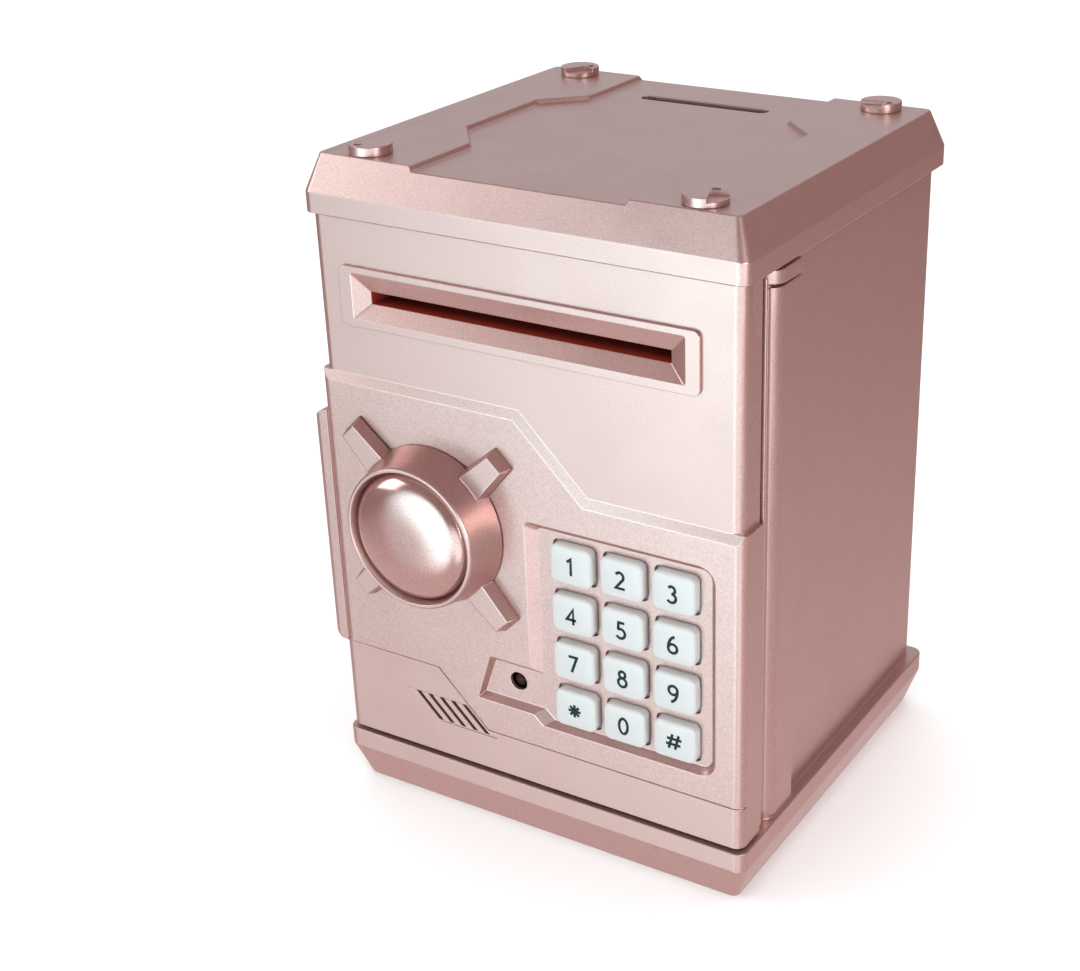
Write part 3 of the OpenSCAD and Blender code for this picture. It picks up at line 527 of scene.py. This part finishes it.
SPRING_END = 0.8  # Turns that lie flat at each end of a spring
BATTERY_SPRING_TURNS = 5
BATTERY_SPRING_WIRE = 0.6
PLUNGER_SPRING_TURNS = 7
PLUNGER_SPRING_WIRE = 0.5
WINDING_WIRE = 0.45
WINDING_BORE = 2.1


def spring_z(x, y, low, high, low_r, high_r, turns, wire, steps=28, sides=8):
    """A wound wire between two heights, with its end turns flat. Radii are to the wire's middle."""
    rings = []
    for i in range(round(turns * steps) + 1):
        turn = i / steps
        rise = min(max((turn - SPRING_END) / (turns - 2 * SPRING_END), 0), 1)
        radius = low_r + (high_r - low_r) * rise
        height = low + wire / 2 + (high - low - wire) * rise
        a = 2 * math.pi * turn
        ring = []
        for k in range(sides):
            b = 2 * math.pi * k / sides
            out = radius + wire / 2 * math.cos(b)
            ring.append((x + out * math.cos(a), y + out * math.sin(a), height + wire / 2 * math.sin(b)))
        rings.append(ring)
    return loft(rings)


def solids_mm(node):
    """The points of each separate solid in a CAD node, in millimetres."""
    bm = plain_copy(node)
    left = set(bm.verts)
    solids = []
    while left:
        reached = {left.pop()}
        rim = set(reached)
        while rim:
            rim = {v for r in rim for link in r.link_edges for v in link.verts} & left
            left -= rim
            reached |= rim
        solids.append([v.co / MM for v in reached])
    bm.free()
    return solids


def battery_springs():
    """Cone springs, wound in the space of the cones that stand for them."""
    wire = BATTERY_SPRING_WIRE
    cones = sorted(solids_mm("battery_springs"), key=lambda ps: min(p.x for p in ps))
    for i, points in enumerate(cones):
        low = min(p.z for p in points)
        high = max(p.z for p in points)
        x = (min(p.x for p in points) + max(p.x for p in points)) / 2
        y = (min(p.y for p in points) + max(p.y for p in points)) / 2
        foot = max(math.hypot(p.x - x, p.y - y) for p in points if p.z < low + NEAR)
        head = max(math.hypot(p.x - x, p.y - y) for p in points if p.z > high - NEAR)
        bm = spring_z(x, y, low, high, foot - wire / 2, head - wire / 2, BATTERY_SPRING_TURNS, wire)
        mesh = to_mesh(bm, f"battery_spring_{i + 1}_mesh")
        replaced = ["battery_springs"] if i == 0 else []
        piece = place(f"visible_battery_spring_{i + 1}", mesh, BODY_OF["battery_springs"],
                      MATERIALS["steel"], replaced)
        smooth_edges(piece, 60)


def plunger_spring():
    """The return spring, wound at one fixed length; the real one shortens as the plunger comes down."""
    low, high = box_mm("plunger_spring")
    middle = (low + high) / 2
    wire = PLUNGER_SPRING_WIRE
    radius = (high.x - low.x - wire) / 2
    bm = spring_z(middle.x, middle.y, low.z, high.z, radius, radius, PLUNGER_SPRING_TURNS, wire)
    mesh = to_mesh(bm, "plunger_spring_mesh")
    piece = place("visible_plunger_spring", mesh, BODY_OF["plunger_spring"], MATERIALS["steel"],
                  ["plunger_spring"])
    smooth_edges(piece, 60)
    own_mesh(piece)


def solenoid_winding():
    """Copper wire wound on the solenoid's core, turn by turn."""
    low, high = box_mm("solenoid_coil")
    middle = (low + high) / 2
    outer = (high.x - low.x) / 2
    turns = round((high.z - low.z) / WINDING_WIRE)
    pitch = (high.z - low.z) / turns
    profile = [(WINDING_BORE, high.z), (WINDING_BORE, low.z)]
    for i in range(turns):
        for k in range(1, 4):
            a = math.radians(45 * k)
            across = pitch / 2 * (1 - math.sin(a))
            along = pitch / 2 * (1 - math.cos(a))
            profile.append((outer - across, low.z + pitch * i + along))
    mesh = to_mesh(revolve_z(profile, middle.x, middle.y), "solenoid_winding_mesh")
    piece = place("visible_solenoid_coil", mesh, BODY_OF["solenoid_coil"], MATERIALS["copper"],
                  ["solenoid_coil"])
    smooth_edges(piece, 50)


battery_springs()
plunger_spring()
solenoid_winding()


# ---- CAD nodes that show as they are ----

for name, node in frame["nodes"].items():
    if not node.hide_render:
        node.data.materials.clear()
        node.data.materials.append(MATERIALS[SLOT_OF[name]])


# ---- Studio ----

FLOOR_SIZE = 6.0     # In metres; the sweep's measures are in millimetres
SWEEP_START = 2400   # Distance from the object to where the sweep leaves the floor
SWEEP_R = 500
SWEEP_TOP = 2000
SWEEP_FOOT = 2       # Height of its lower edge above the floor
SWEEP_THICK = 5
ROOM = (0.31, 0.19, 0.18)

# Each card: the way towards it, the cosines of the angles from there at which it starts and is full,
# and its light
CARDS = (
    ((-0.22, -0.96, -0.15), (0.83, 0.99), (2.35, 4.0, 4.25)),
    ((0.5, -0.8, -0.3), (0.9, 0.99), (1.5, 2.1, 2.2)),
    ((0, 0, -1), (0.22, 0.62), (0.52, 0.52, 0.53)),
    ((-0.46, 0.78, 0.42), (0.6, 0.95), (0.26, 0.45, 0.49)),
)


def stage_paint(name, **sockets):
    """Pale paint with slow, very faint clouds."""
    p = Paint(name, (0.86, 0.86, 0.86), 0.6, **sockets)
    p.colour(p.mix(p.noise(0.25, detail=4.0), (0.855, 0.855, 0.857), (0.87, 0.87, 0.872)))
    return p.material


def stage_piece(name, mesh, material):
    """A part of the set, which the paint doesn't mirror: it mirrors the dim room instead."""
    mesh.materials.append(material)
    made = bpy.data.objects.new(name, mesh)
    made.visible_glossy = False
    bpy.context.scene.collection.objects.link(made)
    return made


def floor_and_backdrop():
    """A pale floor, and far from the object a curved sweep that only hides the room behind it."""
    bm = bmesh.new()
    bmesh.ops.create_grid(bm, x_segments=24, y_segments=24, size=FLOOR_SIZE / 2)
    stage_piece("floor", to_mesh(bm, "floor_mesh"), stage_paint("pale_floor"))
    inside = []
    for degrees in range(0, 100, 10):
        a = math.radians(degrees)
        inside.append((SWEEP_START + SWEEP_R * math.sin(a), SWEEP_FOOT + SWEEP_R * (1 - math.cos(a))))
    inside.append((SWEEP_START + SWEEP_R, SWEEP_TOP))
    outside = [(r + SWEEP_THICK, z) for r, z in reversed(inside)]
    mesh = to_mesh(revolve_z(inside + outside, 0, 0, 72), "backdrop_mesh")
    glow = {"Emission_Color": (1, 1, 1, 1), "Emission_Strength": 0.55}
    backdrop = stage_piece("backdrop", mesh, stage_paint("pale_backdrop", **glow))
    backdrop.visible_diffuse = False
    backdrop.visible_shadow = False
    smooth_edges(backdrop, 40)


def soft_light(name, position, target, size, power, colour=(1, 1, 1), mirrored=True):
    """A rectangular light that the camera doesn't see."""
    data = bpy.data.lights.new(name, "AREA")
    data.shape = "RECTANGLE"
    data.size, data.size_y = size
    data.energy = power
    data.color = colour
    light = bpy.data.objects.new(name, data)
    light.location = position
    light.rotation_euler = (Vector(target) - Vector(position)).to_track_quat("-Z", "Y").to_euler()
    light.visible_camera = False
    light.visible_glossy = mirrored
    bpy.context.scene.collection.objects.link(light)


def room_light():
    """A dim warm room with soft cards of light: two low in front, one below and one high behind."""
    world = bpy.data.worlds.new("studio_world")
    world.use_nodes = True
    tree = world.node_tree
    direction = tree.nodes.new("ShaderNodeTexCoord").outputs["Generated"]
    total = None
    for towards, (start, full), light in CARDS:
        facing = tree.nodes.new("ShaderNodeVectorMath")
        facing.operation = "DOT_PRODUCT"
        facing.inputs[1].default_value = Vector(towards).normalized()
        share = tree.nodes.new("ShaderNodeMapRange")
        share.interpolation_type = "SMOOTHSTEP"
        share.inputs["From Min"].default_value = start
        share.inputs["From Max"].default_value = full
        added = tree.nodes.new("ShaderNodeVectorMath")
        added.operation = "MULTIPLY_ADD"
        added.inputs[1].default_value = light
        added.inputs[2].default_value = ROOM
        tree.links.new(direction, facing.inputs[0])
        tree.links.new(facing.outputs["Value"], share.inputs["Value"])
        tree.links.new(share.outputs["Result"], added.inputs[0])
        if total:
            tree.links.new(total, added.inputs[2])
        total = added.outputs["Vector"]
    tree.links.new(total, tree.nodes["Background"].inputs["Color"])
    bpy.context.scene.world = world


def studio():
    """The room and its lamps."""
    room_light()
    middle = (0, 0, 0.09)
    soft_light("left_box", (-1.3, -0.9, 0.7), middle, (0.8, 0.8), 8, (0.8, 1, 1.02))
    soft_light("right_strip", (0.72, -0.4, 0.21), middle, (0.26, 0.4), 3.4, (0.84, 1, 1.02))
    soft_light("ceiling", (0, 0, 2.5), (0, 0, 0), (6, 6), 190, mirrored=False)


# ---- Camera ----

# Solved from the straight edges in the photograph. Angles in degrees, the place in metres
CAMERA_AZIMUTH = 30.61
CAMERA_ELEVATION = 24.88
CAMERA_ROLL = -0.91
CAMERA_PLACE = (0.24392, -0.40826, 0.31006)
LENS = 60.27
SHIFT = (-0.1, -0.0128)


def camera():
    """The camera at the photograph's place and angle."""
    data = bpy.data.cameras.new("camera")
    data.sensor_width = 36
    data.lens = LENS
    data.shift_x, data.shift_y = SHIFT
    made = bpy.data.objects.new("camera", data)
    bpy.context.scene.collection.objects.link(made)
    az, el, roll = (math.radians(v) for v in (CAMERA_AZIMUTH, CAMERA_ELEVATION, CAMERA_ROLL))
    back = Vector((math.sin(az) * math.cos(el), -math.cos(az) * math.cos(el), math.sin(el)))
    level = Vector((math.cos(az), math.sin(az), 0))
    upright = back.cross(level)
    right = level * math.cos(roll) + upright * math.sin(roll)
    up = upright * math.cos(roll) - level * math.sin(roll)
    turn = Matrix((right, up, back)).transposed().to_4x4()
    made.matrix_world = Matrix.Translation(CAMERA_PLACE) @ turn
    bpy.context.scene.camera = made


floor_and_backdrop()
studio()
camera()
bpy.context.scene.view_settings.view_transform = "Standard"
